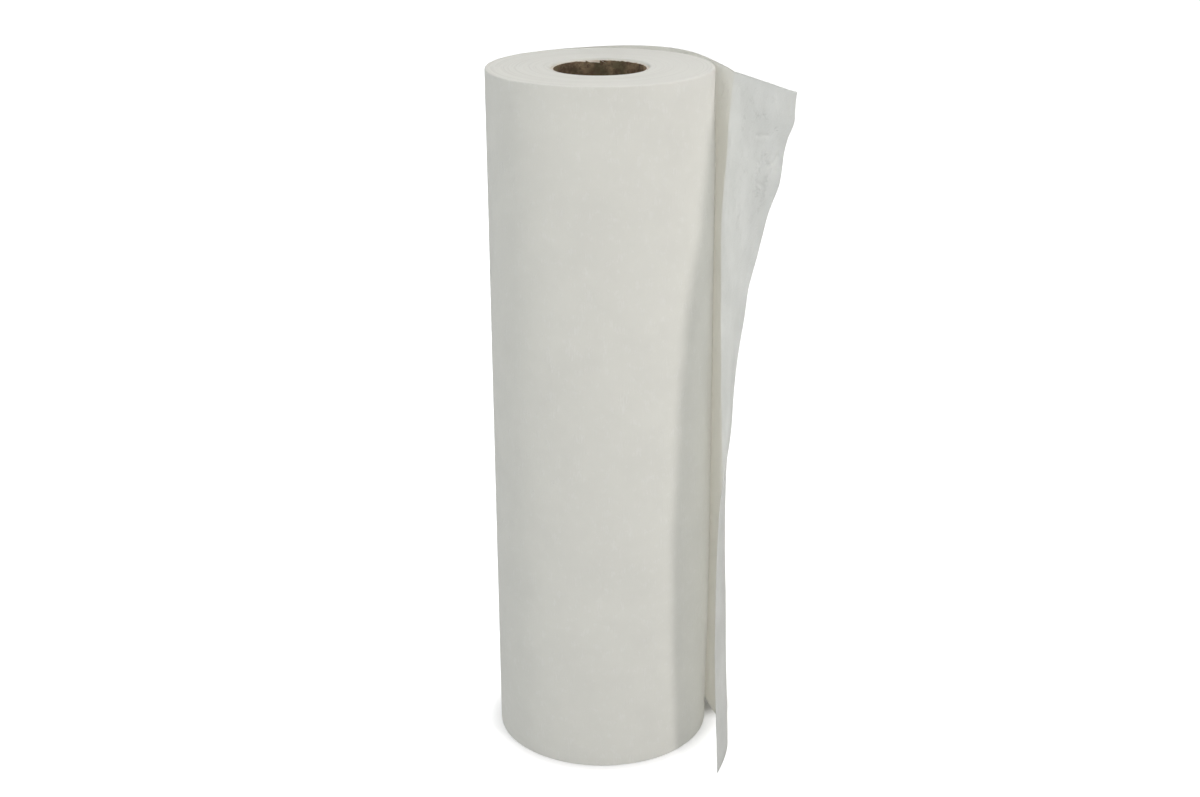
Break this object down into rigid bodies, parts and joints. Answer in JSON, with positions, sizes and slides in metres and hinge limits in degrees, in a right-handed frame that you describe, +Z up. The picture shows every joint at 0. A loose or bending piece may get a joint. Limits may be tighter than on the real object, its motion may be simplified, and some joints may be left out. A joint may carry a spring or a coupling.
{
  "type": "exam table paper roll",
  "caption": "Upright roll of creped exam table paper wound on a cardboard core, its last half turn loose and the free end standing off one side.",
  "frame": {"origin": "on the roll's axis, in the plane of its lower end, which it stands on", "axes": "+Z up along the axis; +X towards the side where the free end stands off; -Y is the front"},
  "size_m": [0.1508, 0.1414, 0.368],
  "materials": {
    "core_board": "uncoated grey-brown board, spirally wound in plies, matt",
    "crepe_paper": "thin uncoated white crepe paper, fine crinkle along the roll's axis, matt"
  },
  "bodies": {
    "root": {"core_tube": "core_board", "paper_roll": "crepe_paper"}
  },
  "joints": []
}
